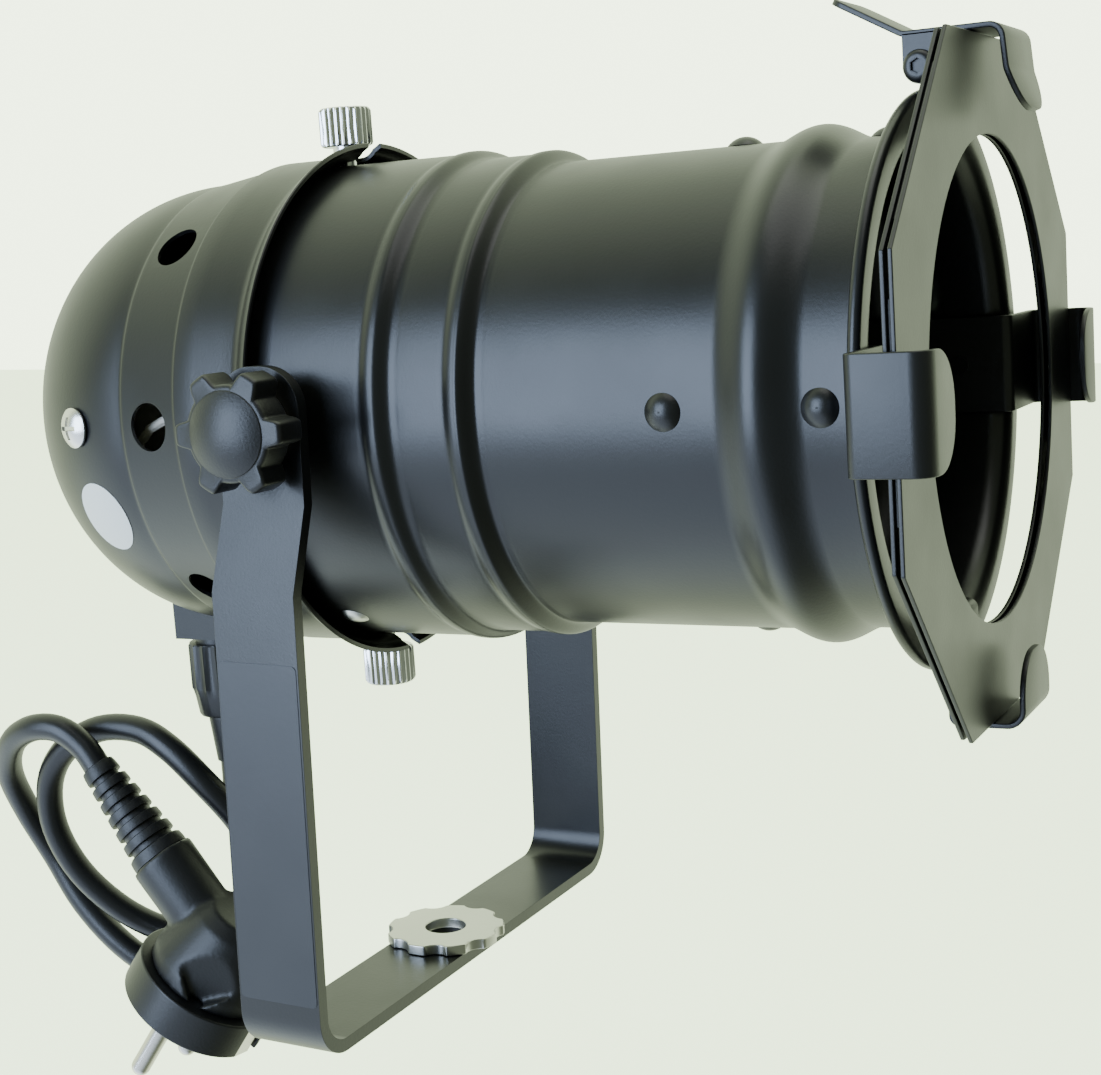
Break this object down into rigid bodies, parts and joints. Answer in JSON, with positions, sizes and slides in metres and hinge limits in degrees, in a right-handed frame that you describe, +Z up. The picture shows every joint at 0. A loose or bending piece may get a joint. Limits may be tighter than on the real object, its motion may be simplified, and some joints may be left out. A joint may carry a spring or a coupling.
{
  "type": "par can light",
  "caption": "Black par can light: barrel with latched gel frame, vented rear housing with cable gland, strap yoke with clamp knobs, and a looped cord with an angled earthed plug.",
  "frame": {"origin": "centre of the yoke's stand hole, at the strap's underside", "axes": "+Z up from the yoke's strap to the pivot; the light faces -Y; +X along the pivot axis"},
  "size_m": [0.1566, 0.2762, 0.2518],
  "materials": {
    "black_powder_coat": "satin powder coat",
    "black_frame_paint": "satin paint",
    "black_knob_plastic": "satin",
    "black_gland_plastic": "satin",
    "zinc_plate": "zinc plated",
    "chrome_plate": "polished",
    "nickel_screw": "nickel plated",
    "white_ceramic": "glazed ceramic",
    "brass_socket": "satin",
    "lamp_mirror": "mirror coated glass",
    "lamp_lens": "clear",
    "lamp_cap_metal": "satin",
    "black_rubber": "moulded, satin",
    "cord_jacket": "satin jacket",
    "wire_sleeve": "braided glass sleeve",
    "plug_face_plastic": "satin",
    "nickel_pins": "nickel plated"
  },
  "bodies": {
    "yoke": {"yoke": "black_powder_coat", "clamp_washers": "zinc_plate", "cord": "cord_jacket", "plug_relief": "black_rubber", "plug_body": "black_rubber", "plug_face": "plug_face_plastic", "plug_pins": "nickel_pins", "plug_earth_clips": "nickel_pins"},
    "stand_nut": {"stand_nut": "zinc_plate"},
    "head": {"barrel": "black_powder_coat", "clip_rivets": "black_powder_coat", "side_rivets": "zinc_plate", "clip_left": "black_powder_coat", "clip_right": "black_powder_coat", "clip_bottom": "black_powder_coat", "latch_bracket": "black_powder_coat", "latch_pin": "black_frame_paint", "latch_spring": "nickel_screw", "gel_plate_front": "black_frame_paint", "gel_plate_back": "black_frame_paint", "pivot_spacers": "black_powder_coat", "pivot_nuts": "zinc_plate", "rear_housing": "black_powder_coat", "thumb_nuts": "zinc_plate", "earth_screw": "nickel_screw", "bracket_screw": "nickel_screw", "holder_bracket": "zinc_plate", "lamp_holder": "white_ceramic", "holder_screws": "nickel_screw", "socket_shell": "brass_socket", "socket_contact": "brass_socket", "gland_body": "black_gland_plastic", "gland_locknut": "black_gland_plastic", "gland_seal": "black_rubber", "wire_live": "wire_sleeve", "wire_neutral": "wire_sleeve", "wire_earth": "wire_sleeve"},
    "knob_left": {"clamp_knob_left": "black_knob_plastic", "clamp_stud_left": "zinc_plate"},
    "knob_right": {"clamp_knob_right": "black_knob_plastic", "clamp_stud_right": "zinc_plate"},
    "screw_top": {"thumbscrew_top": "chrome_plate"},
    "screw_bottom": {"thumbscrew_bottom": "chrome_plate"},
    "latch": {"latch": "black_frame_paint"},
    "lamp": {"lamp_reflector": "lamp_mirror", "lamp_glass": "lamp_lens", "lamp_base": "lamp_cap_metal", "lamp_tip": "lamp_cap_metal"},
    "gland_nut": {"gland_nut": "black_gland_plastic"}
  },
  "joints": [
    {"name": "head_tilt", "type": "hinge", "parent": "yoke", "child": "head", "pos_m": [0, 0, 0.1365], "axis": [1, 0, 0], "range_deg": [-90, 55], "deforming": ["cord"]},
    {"name": "stand_nut_turn", "type": "hinge", "parent": "yoke", "child": "stand_nut", "pos_m": [0, 0, 0.0043], "axis": [0, 0, 1], "continuous": true},
    {"name": "knob_left_turn", "type": "hinge", "parent": "head", "child": "knob_left", "pos_m": [-0.066, 0, 0.1365], "axis": [-1, 0, 0], "continuous": true},
    {"name": "knob_right_turn", "type": "hinge", "parent": "head", "child": "knob_right", "pos_m": [0.066, 0, 0.1365], "axis": [1, 0, 0], "continuous": true},
    {"name": "screw_top_turn", "type": "hinge", "parent": "head", "child": "screw_top", "pos_m": [0, 0.01577, 0.19606], "axis": [0, 0.0297, 0.9996], "continuous": true},
    {"name": "screw_bottom_turn", "type": "hinge", "parent": "head", "child": "screw_bottom", "pos_m": [0, 0.01221, 0.07611], "axis": [0, -0.0297, -0.9996], "continuous": true},
    {"name": "latch_turn", "type": "hinge", "parent": "head", "child": "latch", "pos_m": [0, -0.12557, 0.20345], "axis": [-1, 0, 0], "range_deg": [0, 50], "stiffness_Nm_per_rad": 0.04, "springref_deg": -34.38},
    {"name": "lamp_turn", "type": "hinge", "parent": "head", "child": "lamp", "pos_m": [0, -0.02999, 0.13739], "axis": [0, -0.9996, 0.0297], "continuous": true},
    {"name": "gland_nut_turn", "type": "hinge", "parent": "head", "child": "gland_nut", "pos_m": [0, 0.06189, 0.06463], "axis": [0, -0.0297, -0.9996], "continuous": true}
  ]
}
